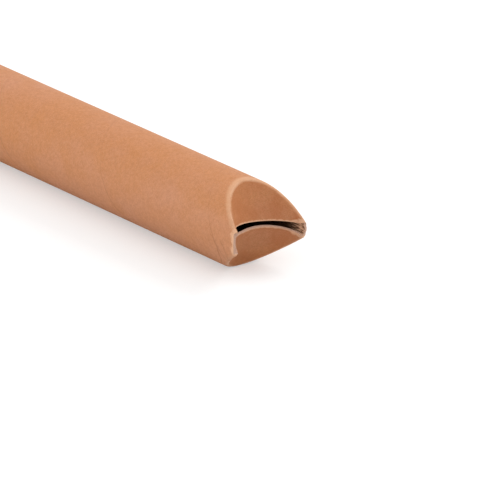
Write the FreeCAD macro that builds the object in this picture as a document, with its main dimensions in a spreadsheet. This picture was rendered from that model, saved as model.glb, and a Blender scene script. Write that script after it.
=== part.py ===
# Cardboard mailing tube with pushed-in crescent flaps at both ends.
# The tube lies along X on the surface Z = 0, and the origin is under its middle.
# Millimetres and degrees.
import FreeCAD, Part
import math
import os

doc = FreeCAD.newDocument("MailingTube")

# Sizes that can be set one by one
SIZES = {
    # rim to rim
    "tube_length": 381.0,
    # inside the wound board
    "bore_diameter": 50.8,
    # all plies of the spiral winding
    "board_thickness": 1.5,
    # tube axis to each crease where it starts at the rim: the board between stays unfolded
    "upper_land": 5.5,
    "lower_land": 6.8,
    # tube axis to the middle of each flap's free edge, which leaves the slit open
    "upper_edge_gap": 0.9,
    "lower_edge_gap": 0.4,
    # degrees that each flap is turned round the tube from straight up or straight down
    "upper_turn": 7.9,
    "lower_turn": -0.9,
    # radius of the outside of each folded ridge
    "crease_rounding": 1.0,
}
sizes = doc.addObject("Spreadsheet::Sheet", "Sizes")
for row, (name, value) in enumerate(SIZES.items(), 1):
    sizes.set("A" + str(row), name)
    sizes.set("B" + str(row), str(value))
    sizes.setAlias("B" + str(row), name)
doc.recompute()

# Measures that follow from them
BORE_RADIUS = "Sizes.bore_diameter / 2"
OUTER_RADIUS = "(Sizes.bore_diameter / 2 + Sizes.board_thickness)"
HALF_LENGTH = "Sizes.tube_length / 2"
BLOCK = "(4 * " + OUTER_RADIUS + ")"


def add(kind, name, label, **bound):
    """Add an object and bind its properties to the sheet."""
    made = doc.addObject(kind, name)
    made.Label = label
    for property_name, formula in bound.items():
        made.setExpression(property_name, formula)
    return made


# Half of the wound tube, from its middle to one rim, with its axis on X
ALONG_X = "placement(vector(0; 0; 0); rotation(vector(0; 1; 0); 90 deg))"
outside = add("Part::Cylinder", "Outside", "outside of the half tube",
              Radius=OUTER_RADIUS, Height=HALF_LENGTH, Placement=ALONG_X)
bore = add("Part::Cylinder", "Bore", "bore of the half tube",
           Radius=BORE_RADIUS, Height=HALF_LENGTH, Placement=ALONG_X)
straight_half = add("Part::Cut", "StraightHalf", "half tube before folding")
straight_half.Base = outside
straight_half.Tool = bore


def fold(side, up):
    """Cut the board beyond one crease plane and mirror it inwards as a flap.

    The crease plane meets the rim plane in a line beside the slit and slopes
    back from there to the outside of the tube. Board keeps its length when it
    is folded, so the flap is the mirror image of the crescent that it was cut
    from, and the slope is the one that brings its free edge beside the slit.
    """
    land = "Sizes." + side + "_land"
    slope = ("asin(sqrt((" + OUTER_RADIUS + " - Sizes." + side + "_edge_gap)"
             " / (2 * (" + OUTER_RADIUS + " - " + land + "))))")
    turn = "rotation(vector(-1; 0; 0); Sizes." + side + "_turn * 1 deg)"
    sign = str(up) + " * "
    crease_point = turn + " * vector(" + HALF_LENGTH + "; 0; " + sign + land + ")"
    crease_normal = turn + " * vector(cos(" + slope + "); 0; " + sign + "sin(" + slope + "))"
    block = add("Part::Box", side.title() + "Beyond", "space beyond the " + side + " crease",
                Length=BLOCK, Width=BLOCK, Height=BLOCK)
    block.setExpression(
        "Placement",
        "placement(" + crease_point + "; " + turn + " * rotation(vector(0; " + str(-up) + "; 0); " + slope + "))"
        " * placement(vector(0; -" + BLOCK + " / 2; -" + BLOCK + " / 2); rotation(vector(0; 0; 1); 0 deg))")
    crescent = add("Part::Common", side.title() + "Crescent", side + " crescent of the wall")
    crescent.Base = straight_half
    crescent.Tool = block
    flap = add("Part::Mirroring", side.title() + "Flap", side + " flap",
               Base=crease_point, Normal=crease_normal)
    flap.Source = crescent
    return block, flap


upper_block, upper_flap = fold("upper", 1)
lower_block, lower_flap = fold("lower", -1)

without_upper = add("Part::Cut", "WithoutUpper", "half tube without the upper crescent")
without_upper.Base = straight_half
without_upper.Tool = upper_block
open_half = add("Part::Cut", "OpenHalf", "half tube without its crescents")
open_half.Base = without_upper
open_half.Tool = lower_block
folded_half = add("Part::MultiFuse", "FoldedHalf", "half tube with its flaps pushed in")
folded_half.Shapes = [open_half, upper_flap, lower_flap]
folded_half.Refine = True
doc.recompute()


def ridge_edges(shape):
    """Number the edges that lie in a crease plane on the outside of the board."""
    mid_board = (outside.Radius.Value + bore.Radius.Value) / 2
    found = []
    for flap in (upper_flap, lower_flap):
        for number, edge in enumerate(shape.Edges, 1):
            points = edge.discretize(9)
            offsets = [abs((point - flap.Base).dot(flap.Normal)) for point in points]
            from_axis = [math.hypot(point.y, point.z) for point in points]
            if max(offsets) < 0.001 and min(from_axis) > mid_board:
                found.append(number)
    return found


# Folded board has no sharp corner on the outside of its creases
rounding = float(sizes.crease_rounding)
rounded_half = add("Part::Fillet", "RoundedHalf", "half tube with rounded creases")
rounded_half.Base = folded_half
rounded_half.Edges = [(number, rounding, rounding) for number in ridge_edges(folded_half.Shape)]

# The other half is the same, seen in a mirror
mirrored_half = add("Part::Mirroring", "MirroredHalf", "other half of the tube")
mirrored_half.Source = rounded_half
mirrored_half.Normal = FreeCAD.Vector(1, 0, 0)

tube = add("Part::MultiFuse", "Tube", "mailing_tube",
           Placement="placement(vector(0; 0; " + OUTER_RADIUS + "); rotation(vector(0; 0; 1); 0 deg))")
tube.Shapes = [rounded_half, mirrored_half]
tube.Refine = True
doc.recompute()

# Every object has to be sound before the tube is written
for made in doc.Objects:
    if "Invalid" in made.State or "Error" in made.State:
        raise RuntimeError(made.Label + " could not be made")
if tube.Shape.isNull() or not tube.Shape.isValid():
    raise RuntimeError("the tube is not a sound solid")
print("volume", round(tube.Shape.Volume, 1), "solids", len(tube.Shape.Solids))
print("box", tube.Shape.BoundBox)

os.makedirs("parts", exist_ok=True)
tube.Shape.exportStep("parts/" + tube.Label + ".step")
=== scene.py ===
# A cardboard mailing tube lying on a pale floor, with one of its closed ends towards the camera.
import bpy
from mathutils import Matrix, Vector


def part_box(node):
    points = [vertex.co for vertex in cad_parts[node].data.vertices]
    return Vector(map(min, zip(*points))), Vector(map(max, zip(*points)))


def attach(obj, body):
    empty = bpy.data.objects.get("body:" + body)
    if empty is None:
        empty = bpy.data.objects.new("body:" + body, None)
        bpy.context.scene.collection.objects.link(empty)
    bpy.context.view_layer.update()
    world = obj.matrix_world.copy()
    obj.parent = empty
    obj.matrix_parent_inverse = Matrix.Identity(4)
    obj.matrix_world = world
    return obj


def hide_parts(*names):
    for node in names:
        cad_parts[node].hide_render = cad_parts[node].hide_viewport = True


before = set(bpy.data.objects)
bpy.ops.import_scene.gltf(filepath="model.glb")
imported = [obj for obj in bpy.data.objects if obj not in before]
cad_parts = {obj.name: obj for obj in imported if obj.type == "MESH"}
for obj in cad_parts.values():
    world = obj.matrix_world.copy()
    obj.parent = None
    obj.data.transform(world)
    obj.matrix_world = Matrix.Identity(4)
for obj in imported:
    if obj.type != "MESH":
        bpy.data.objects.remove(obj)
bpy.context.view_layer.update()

import math

import bpy
from mathutils import Matrix, Vector

bpy.ops.object.select_all(action="DESELECT")

# Sizes of the tube, in metres
high_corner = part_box("mailing_tube")[1]
HALF_LENGTH = high_corner[0]
OUTER_RADIUS = high_corner[2] / 2
BOARD = 0.0015
PLIES = 4
BORE_RADIUS = OUTER_RADIUS - BOARD

# The length at each end that holds the folds, with some board to spare
FOLDED_END = 0.034

# Faces along the straight body, along each folded end and round the tube
BODY_STEPS = 62
END_STEPS = 48
AROUND = 240

# Points closer than this to a plane or to each other count as touching
TOUCH = 1e-6

# The free edge of each lower flap is pulled up a little on its near side
LIP_FROM_RIM = 0.0110
LIP_SIDE = -0.0180
LIP_HEIGHT = OUTER_RADIUS - 0.0022
LIP_LIFT = 0.0019
LIP_REACH = 0.013

# The seam of the spiral winding: its way along the tube in one turn, and its start as a share of that
WINDING_LEAD = 0.105
SEAM_START = 0.88
ROUND_THE_TUBE = 2 * math.pi * OUTER_RADIUS
WINDING_ANGLE = math.atan2(WINDING_LEAD, ROUND_THE_TUBE)


class Crease:
    """The plane of one curved crease, where board is mirrored inwards as a flap.

    end and side are 1 or -1: which end of the tube, and above or below its axis.
    land is the height of unfolded board between the axis and the crease at the rim.
    depth_share is how far in the flap goes, as a share of a true mirror image.
    """

    def __init__(self, end, side, slope_degrees, land, turn_degrees, depth_share):
        slope = math.radians(slope_degrees)
        out = Vector((end * math.cos(slope), 0, side * math.sin(slope)))
        point = Vector((end * HALF_LENGTH, 0, side * land))
        turn = Matrix.Rotation(-math.radians(turn_degrees), 3, "X")
        self.normal = turn @ out
        self.point = turn @ point + Vector((0, 0, OUTER_RADIUS))
        self.along = turn @ Vector((0, 1, 0))
        self.land = land
        self.depth_share = depth_share

    def height(self, place):
        """How far a place lies beyond the crease plane."""
        return (place - self.point).dot(self.normal)

    def rim_corners(self):
        """The two places where the crease runs out at the rim."""
        half_chord = math.sqrt(BORE_RADIUS ** 2 - self.land ** 2)
        return [self.point + half_chord * self.along, self.point - half_chord * self.along]

    def axes(self):
        """Axes whose third one stands on the plane."""
        return Matrix((self.along, self.normal.cross(self.along), self.normal)).transposed()


# An upper and a lower crease at each end, and both ends are alike
CREASES = []
for tube_end in (1, -1):
    CREASES.append(Crease(
        tube_end, side=1, slope_degrees=50.8, land=0.0035, turn_degrees=5.6, depth_share=0.75))
    CREASES.append(Crease(
        tube_end, side=-1, slope_degrees=54.9, land=0.0056, turn_degrees=0.0, depth_share=0.91))


def pick_points(piece, wanted):
    """Go to edit mode with only the wanted vertices selected."""
    bpy.ops.object.mode_set(mode="EDIT")
    bpy.ops.mesh.select_mode(type="VERT")
    bpy.ops.mesh.select_all(action="DESELECT")
    bpy.ops.object.mode_set(mode="OBJECT")
    for point in piece.data.vertices:
        point.select = wanted(point.co)
    bpy.ops.object.mode_set(mode="EDIT")


def pick_long_edges(piece, shortest):
    """Go to edit mode with only the edges selected that run far along the tube."""
    bpy.ops.object.mode_set(mode="EDIT")
    bpy.ops.mesh.select_mode(type="EDGE")
    bpy.ops.mesh.select_all(action="DESELECT")
    bpy.ops.object.mode_set(mode="OBJECT")
    points = piece.data.vertices
    for edge in piece.data.edges:
        ends = [points[number] for number in edge.vertices]
        if abs(ends[0].co.x - ends[1].co.x) > shortest:
            edge.select = True
            ends[0].select = True
            ends[1].select = True
    bpy.ops.object.mode_set(mode="EDIT")


def straight_sheet():
    """The inner ply before folding: an open cylinder with close rings at both ends."""
    body_length = 2 * (HALF_LENGTH - FOLDED_END)
    bpy.ops.mesh.primitive_cylinder_add(
        vertices=AROUND, radius=BORE_RADIUS, depth=body_length, end_fill_type="NOTHING",
        location=(0, 0, OUTER_RADIUS), rotation=(0, math.pi / 2, 0))
    sheet = bpy.context.object
    sheet.name = "wound_tube"
    bpy.ops.object.transform_apply(location=True, rotation=True, scale=True)
    pick_long_edges(sheet, body_length / 2)
    bpy.ops.mesh.subdivide(number_cuts=BODY_STEPS - 1)
    for end in (1, -1):
        edge_place = end * body_length / 2
        pick_points(sheet, lambda place: abs(place.x - edge_place) < TOUCH)
        bpy.ops.mesh.extrude_region_move(TRANSFORM_OT_translate={"value": (end * FOLDED_END, 0, 0)})
    pick_long_edges(sheet, FOLDED_END / 2)
    bpy.ops.mesh.subdivide(number_cuts=END_STEPS - 1)
    bpy.ops.object.mode_set(mode="OBJECT")
    return sheet


def unroll(sheet):
    """Lay the flat board's own measures, in metres, on the sheet before it is folded."""
    flat = sheet.data.uv_layers.active
    flat.name = "flat_board"
    for face in sheet.data.polygons:
        middle = math.atan2(face.center.y, OUTER_RADIUS - face.center.z)
        for loop in face.loop_indices:
            place = sheet.data.vertices[sheet.data.loops[loop].vertex_index].co
            angle = math.atan2(place.y, OUTER_RADIUS - place.z)
            angle += 2 * math.pi * round((middle - angle) / (2 * math.pi))
            flat.data[loop].uv = (angle * OUTER_RADIUS, place.x)


def push_in(sheet, crease):
    """Crease the board along a plane, mirror what lies beyond it, and note which points were folded."""
    bpy.ops.object.mode_set(mode="EDIT")
    bpy.ops.mesh.select_all(action="SELECT")
    bpy.ops.mesh.bisect(plane_co=crease.point, plane_no=crease.normal, threshold=TOUCH)
    bpy.ops.object.mode_set(mode="OBJECT")
    folded = sheet.data.attributes.get("folded") or sheet.data.attributes.new("folded", "FLOAT", "POINT")
    for number, point in enumerate(sheet.data.vertices):
        if crease.height(point.co) > TOUCH:
            folded.data[number].value = 1.0
    pick_points(sheet, lambda place: crease.height(place) > TOUCH)
    bpy.ops.transform.resize(
        value=(1, 1, -crease.depth_share), orient_type="GLOBAL", orient_matrix=crease.axes(),
        orient_matrix_type="GLOBAL", center_override=crease.point)
    bpy.ops.object.mode_set(mode="OBJECT")


def round_creases(sheet):
    """Turn the sharp folds into ridges about as wide as the board is thick."""
    end_start = HALF_LENGTH - FOLDED_END
    pick_points(sheet, lambda place: abs(place.x) > end_start
                and min(abs(crease.height(place)) for crease in CREASES) < BOARD)
    bpy.ops.mesh.vertices_smooth(factor=0.5, repeat=6)
    bpy.ops.object.mode_set(mode="OBJECT")


def nudge(sheet, place, shift, reach):
    """Pull the board softly round one place, as hands and use do."""
    spot = min((point.co.copy() for point in sheet.data.vertices), key=lambda co: (co - place).length)
    pick_points(sheet, lambda co: (co - spot).length < TOUCH)
    bpy.ops.transform.translate(
        value=shift, use_proportional_edit=True, use_proportional_connected=True,
        proportional_edit_falloff="SMOOTH", proportional_size=reach)
    bpy.ops.object.mode_set(mode="OBJECT")


def thicken(sheet):
    """Give the sheet its board thickness outwards, and note what the paper's wear and its painted light and
    shade depend on.
    """
    outer_points = len(sheet.data.vertices)
    wall = sheet.modifiers.new("board", "SOLIDIFY")
    wall.thickness = BOARD
    wall.offset = 1
    # The second material goes on the cut edge
    wall.material_offset_rim = 1
    bpy.ops.object.modifier_apply(modifier=wall.name)
    # Corners that stick out past the rim are pressed back to it
    for end in (1, -1):
        pick_points(sheet, lambda place: end * place.x > HALF_LENGTH)
        bpy.ops.transform.resize(value=(0, 1, 1), center_override=(end * HALF_LENGTH, 0, 0))
        bpy.ops.object.mode_set(mode="OBJECT")
    # Depth in the board, height past the nearest crease plane in board thicknesses, and distance
    # to the nearest place where a crease runs out
    measures = sheet.data.attributes
    for name in ("ply_depth", "ridge", "corner_distance"):
        measures.new(name, "FLOAT", "POINT")
    depth, ridge, distance = measures["ply_depth"], measures["ridge"], measures["corner_distance"]
    corners = [corner for crease in CREASES for corner in crease.rim_corners()]
    for number, point in enumerate(sheet.data.vertices):
        inner = number >= outer_points
        depth.data[number].value = 1.0 if inner else 0.0
        ridge.data[number].value = max(crease.height(point.co) for crease in CREASES) / BOARD
        distance.data[number].value = min((point.co - corner).length for corner in corners)


class Field:
    """A value that varies over a surface. Arithmetic on it adds Math nodes."""

    def __init__(self, finish, socket):
        self.finish = finish
        self.socket = socket

    def compute(self, operation, *terms):
        return self.finish.node("ShaderNodeMath", {"operation": operation}, *terms)

    def __add__(self, other):
        return self.compute("ADD", self, other)

    __radd__ = __add__

    def __sub__(self, other):
        return self.compute("SUBTRACT", self, other)

    def __rsub__(self, other):
        return self.compute("SUBTRACT", other, self)

    def __mul__(self, other):
        return self.compute("MULTIPLY", self, other)

    __rmul__ = __mul__

    def __truediv__(self, other):
        return self.compute("DIVIDE", self, other)

    def fraction(self):
        return self.compute("FRACT", self)

    def size(self):
        return self.compute("ABSOLUTE", self)

    def most(self, other):
        return self.compute("MAXIMUM", self, other)

    def rise(self, start, stop):
        """0 below start, 1 above stop and smooth between them."""
        return self.finish.node(
            "ShaderNodeMapRange", {"interpolation_type": "SMOOTHSTEP"}, self, start, stop, 0.0, 1.0)


class Finish:
    """A material and the nodes that make it."""

    def __init__(self, name):
        self.material = bpy.data.materials.new(name)
        self.material.use_nodes = True
        self.tree = self.material.node_tree
        self.shader = self.tree.nodes["Principled BSDF"]

    def node(self, kind, settings, *values, output=0, **named):
        """Add one node, set it up, and feed its sockets with numbers or links."""
        made = self.tree.nodes.new(kind)
        for name, setting in settings.items():
            setattr(made, name, setting)
        sockets = dict(enumerate(values))
        sockets.update({name.replace("_", " "): value for name, value in named.items()})
        for name, value in sockets.items():
            self.feed(made.inputs[name], value)
        return Field(self, made.outputs[output])

    def feed(self, socket, value):
        if isinstance(value, Field):
            self.tree.links.new(value.socket, socket)
        else:
            socket.default_value = value

    def set(self, **values):
        """Set or link the shader's sockets."""
        for name, value in values.items():
            self.feed(self.shader.inputs[name.replace("_", " ")], value)

    def blend(self, share, first, second):
        """Mix two colours by a share from 0 to 1."""
        mixer = self.tree.nodes.new("ShaderNodeMix")
        mixer.data_type = "RGBA"
        self.feed(mixer.inputs[0], share)
        self.feed(mixer.inputs[6], first)
        self.feed(mixer.inputs[7], second)
        return Field(self, mixer.outputs[2])

    def measure(self, name):
        """A value that the mesh carries at each of its points."""
        return self.node("ShaderNodeAttribute", {"attribute_name": name}, output="Fac")

    def speckle(self, place, scale, detail=2.0, roughness=0.5):
        """Soft random patches, from 0 to 1."""
        return self.node(
            "ShaderNodeTexNoise", {}, Vector=place, Scale=scale, Detail=detail, Roughness=roughness)

    def stretched(self, place, turn, scale):
        """A place turned and scaled, for marks that are longer one way."""
        return self.node("ShaderNodeMapping", {}, place, (0, 0, 0), (0, 0, turn), scale)


def kraft_paper(name, tan, rosy, painted_flap_shade, dark, pale, inner):
    """Brown kraft paper with cloudy tone, short fibres, a winding seam and creases paled by rubbing, with
    painted highlights on and beside the ridges and painted shade on the flaps, low along the seam and inside
    the tube.
    """
    kraft = Finish(name)
    place = kraft.node("ShaderNodeTexCoord", {}, output="Object")
    flat = kraft.node("ShaderNodeUVMap", {"uv_map": "flat_board"})
    around = kraft.node("ShaderNodeSeparateXYZ", {}, flat, output="X")
    along = kraft.node("ShaderNodeSeparateXYZ", {}, flat, output="Y")
    from_rim = HALF_LENGTH - along.size()
    up_the_side = around.size() / OUTER_RADIUS - math.pi / 2
    inside = kraft.measure("ply_depth")
    folded = kraft.measure("folded")

    # Tone and fibres of the paper
    clouds = kraft.speckle(kraft.stretched(place, 0, (14, 30, 30)), 1.0, 3).rise(0.32, 0.68)
    patches = kraft.speckle(place, 75, 3).rise(0.3, 0.7)
    mottle = kraft.speckle(place, 420, 3).rise(0.3, 0.7)
    fuzz = kraft.speckle(place, 1300, 3, 0.65)
    fibres = kraft.speckle(kraft.stretched(flat, -WINDING_ANGLE, (620, 2800, 1)), 1.0, 3, 0.6)
    flecks = kraft.speckle(kraft.stretched(flat, WINDING_ANGLE, (900, 2600, 1)), 1.0, 2).rise(0.66, 0.8)

    # The seam of the outer ply winds round the tube as a dark line, made stronger low on the tube by painted
    # shade
    waver = kraft.speckle(place, 160, 2) - 0.5
    turns = (along - around * (WINDING_LEAD / ROUND_THE_TUBE)) / WINDING_LEAD + waver * 0.006
    from_seam = ((turns - SEAM_START + 0.5).fraction() - 0.5) * WINDING_LEAD
    seam_line = 1 - from_seam.size().rise(0.0001, 0.0006)
    seam_line_and_painted_shade = seam_line * (0.45 - 0.33 * up_the_side.rise(-0.1, 0.6))
    overlap = from_seam.rise(-0.0004, 0.0001) * (1 - from_seam.rise(0.004, 0.012))

    # Two buckles arch over the wall beside each lower crease
    below_middle = up_the_side + 0.38
    arch = from_rim - below_middle * below_middle * 0.033 + waver * 0.003
    buckled = 1 - below_middle.size().rise(0.25, 0.5)
    first_buckle = 1 - (arch - 0.016).size().rise(0.0, 0.0010)
    second_buckle = 1 - (arch - 0.0085).size().rise(0.0, 0.0008)
    buckle = first_buckle.most(second_buckle) * buckled * (1 - folded)

    # Ridges are paled by rubbing and carry a painted highlight, the body beside the upper ones has a painted
    # highlight, and the rim is torn and frayed
    ridge = kraft.measure("ridge")
    from_corner = kraft.measure("corner_distance")
    rubbed_and_highlit_ridge = (ridge + (patches - 0.5) * 0.3).rise(0.45, 0.95)
    painted_ridge_highlight = (ridge + (mottle - 0.5) * 0.4).rise(-0.9, 0.7) * (1 - folded) * up_the_side.rise(-0.8, -0.1)
    torn_reach = 0.0011 + (1 - from_corner.rise(0.0, 0.010)) * 0.0042 * (patches * 0.6 + 0.4)
    torn = (1 - ((from_rim / torn_reach) + (mottle - 0.5) * 0.4 + (fuzz - 0.5) * 0.9).rise(0.4, 1.1)) * 0.7
    crumple = (1 - from_corner.rise(0.002, 0.008)) * kraft.speckle(place, 700, 2, 0.6)
    strands = kraft.speckle(kraft.stretched(flat, 0.15, (1500, 230, 1)), 1.0, 2).rise(0.42, 0.55)
    frayed = (1 - from_corner.rise(0.005, 0.018)) * strands

    tone = kraft.blend(clouds * 0.6 + patches * 0.3, tan, rosy)
    tone = kraft.blend(mottle * 0.18 + fuzz.rise(0.35, 0.65) * (folded * 0.14 + 0.21), tone, dark)
    tone = kraft.blend(fibres.rise(0.45, 0.75) * 0.25, tone, pale)
    tone = kraft.blend(flecks * 0.2, tone, dark)
    tone = kraft.blend(seam_line_and_painted_shade.most(buckle * 0.45), tone, dark)
    # Painted shade: the folded flaps are made darker and redder than the body
    tone = kraft.blend(folded * (patches * 0.5 + 0.12), tone, painted_flap_shade)
    tone = kraft.blend((rubbed_and_highlit_ridge * 0.65).most(painted_ridge_highlight * 0.46).most(torn), tone, pale)
    # Painted shade: the inside of the tube is coloured dark brown
    tone = kraft.blend(inside * 0.95, tone, inner)
    tone = kraft.blend(inside * frayed, tone, pale)
    relief = fibres * 0.00004 + mottle * 0.00004 + overlap * 0.00012 - seam_line * 0.00012 - buckle * 0.0003
    relief = relief + torn * mottle * 0.00025 + crumple * 0.0006
    bump = kraft.node("ShaderNodeBump", {}, Height=relief, Strength=0.7, Distance=1.0)
    roughness = mottle * 0.06 + fibres * 0.08 + torn * 0.2 + 0.53
    kraft.set(Base_Color=tone, Roughness=roughness, Normal=bump, Specular_IOR_Level=0.2)
    return kraft.material


def cut_board(name, pale, grey, dark):
    """The cut edge of the board: soft pale plies with darker glue lines between them."""
    edge = Finish(name)
    place = edge.node("ShaderNodeTexCoord", {}, output="Object")
    depth = edge.measure("ply_depth")
    fuzz = edge.speckle(place, 1400, 3, 0.65)
    plies = ((depth + (fuzz - 0.5) * 0.08) * PLIES).fraction()
    glue = 1 - (plies - 0.5).size().rise(0.0, 0.22)
    tone = edge.blend(fuzz.rise(0.3, 0.7) * 0.6, pale, grey)
    tone = edge.blend(glue * 0.45, tone, dark)
    bump = edge.node("ShaderNodeBump", {}, Height=fuzz * 0.00025 - glue * 0.0001, Strength=0.8, Distance=1.0)
    edge.set(Base_Color=tone, Roughness=fuzz * 0.12 + 0.84, Normal=bump, Specular_IOR_Level=0.2)
    return edge.material


def build_tube():
    """Wind, crease and fold the tube."""
    tube = straight_sheet()
    unroll(tube)
    for crease in CREASES:
        push_in(tube, crease)
    round_creases(tube)
    for end in (1, -1):
        lip = Vector((end * (HALF_LENGTH - LIP_FROM_RIM), LIP_SIDE, LIP_HEIGHT))
        nudge(tube, lip, (0, 0, LIP_LIFT), LIP_REACH)
    tube.data.materials.append(kraft_paper(
        "kraft_board",
        tan=(0.625, 0.256, 0.099, 1),
        rosy=(0.64, 0.288, 0.160, 1),
        # The next colour is a painted shade for the folded flaps
        painted_flap_shade=(0.48, 0.155, 0.048, 1),
        dark=(0.36, 0.14, 0.050, 1),
        pale=(0.88, 0.54, 0.34, 1),
        # The last colour is a painted shade for the inside of the tube
        inner=(0.13, 0.055, 0.026, 1)))
    tube.data.materials.append(cut_board(
        "kraft_cut_edge",
        pale=(0.79, 0.50, 0.37, 1),
        grey=(0.57, 0.34, 0.24, 1),
        dark=(0.34, 0.17, 0.095, 1)))
    thicken(tube)
    bpy.ops.object.shade_smooth_by_angle(angle=math.radians(40))
    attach(tube, "root")
    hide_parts("mailing_tube")
    return tube


def lay_floor():
    """A plain pale floor that keeps the tube's shadow and shows white to the camera."""
    bpy.ops.mesh.primitive_plane_add(size=12)
    floor = bpy.context.object
    floor.name = "floor"
    pale = Finish("pale_floor")
    pale.set(Base_Color=(0.65, 0.65, 0.65, 1), Roughness=0.9, Specular_IOR_Level=0.1)
    seen = pale.node("ShaderNodeLightPath", {}, output="Is Camera Ray")
    glow = pale.tree.nodes.new("ShaderNodeEmission")
    pale.feed(glow.inputs["Strength"], seen * 0.42)
    both = pale.tree.nodes.new("ShaderNodeAddShader")
    pale.tree.links.new(pale.shader.outputs[0], both.inputs[0])
    pale.tree.links.new(glow.outputs[0], both.inputs[1])
    pale.tree.links.new(both.outputs[0], pale.tree.nodes["Material Output"].inputs["Surface"])
    floor.data.materials.append(pale.material)


def hang_lamp(name, place, watts):
    """A large soft lamp that points at the tube."""
    bpy.ops.object.light_add(type="AREA", location=place)
    lamp = bpy.context.object
    lamp.name = name
    lamp.data.size = 1.2
    lamp.data.energy = watts
    lamp.rotation_euler = (-lamp.location).to_track_quat("-Z", "Y").to_euler()


def light_studio():
    """Even light from all round, and two large soft lamps that shape the round of the tube."""
    world = bpy.data.worlds.new("studio")
    bpy.context.scene.world = world
    world.use_nodes = True
    nodes, links = world.node_tree.nodes, world.node_tree.links
    room = nodes["Background"]
    room.inputs["Color"].default_value = (1, 1, 1, 1)
    room.inputs["Strength"].default_value = 0.88
    white = nodes.new("ShaderNodeBackground")
    white.inputs["Color"].default_value = (1, 1, 1, 1)
    path = nodes.new("ShaderNodeLightPath")
    seen = nodes.new("ShaderNodeMath")
    seen.operation = "MAXIMUM"
    links.new(path.outputs["Is Camera Ray"], seen.inputs[0])
    links.new(path.outputs["Is Glossy Ray"], seen.inputs[1])
    mix = nodes.new("ShaderNodeMixShader")
    links.new(seen.outputs[0], mix.inputs[0])
    links.new(room.outputs[0], mix.inputs[1])
    links.new(white.outputs[0], mix.inputs[2])
    links.new(mix.outputs[0], nodes["World Output"].inputs["Surface"])
    hang_lamp("far_side_lamp", (0.1, 1.6, 1.5), 14)
    hang_lamp("near_side_lamp", (-0.9, -1.7, 0.45), 9)


def aim_camera():
    """Stand at the photograph's viewing angle, with the long lens that its flat perspective needs."""
    azimuth, elevation = math.radians(52.29), math.radians(20.71)
    towards = Vector((math.cos(elevation) * math.sin(azimuth),
                      -math.cos(elevation) * math.cos(azimuth), math.sin(elevation)))
    right = Vector((math.cos(azimuth), math.sin(azimuth), 0))
    up = towards.cross(right)
    rim_centre = Vector((HALF_LENGTH, 0, OUTER_RADIUS))
    distance, left_of_rim, below_rim = 3.7535, 0.01165, 0.00857
    place = rim_centre + distance * towards - left_of_rim * right - below_rim * up
    bpy.ops.object.camera_add(location=place)
    camera = bpy.context.object
    camera.rotation_euler = Matrix((right, up, towards)).transposed().to_euler()
    camera.data.sensor_width = 36
    camera.data.lens = 468
    camera.data.clip_end = 50
    bpy.context.scene.camera = camera


build_tube()
lay_floor()
light_studio()
aim_camera()
bpy.context.scene.view_settings.view_transform = "Standard"
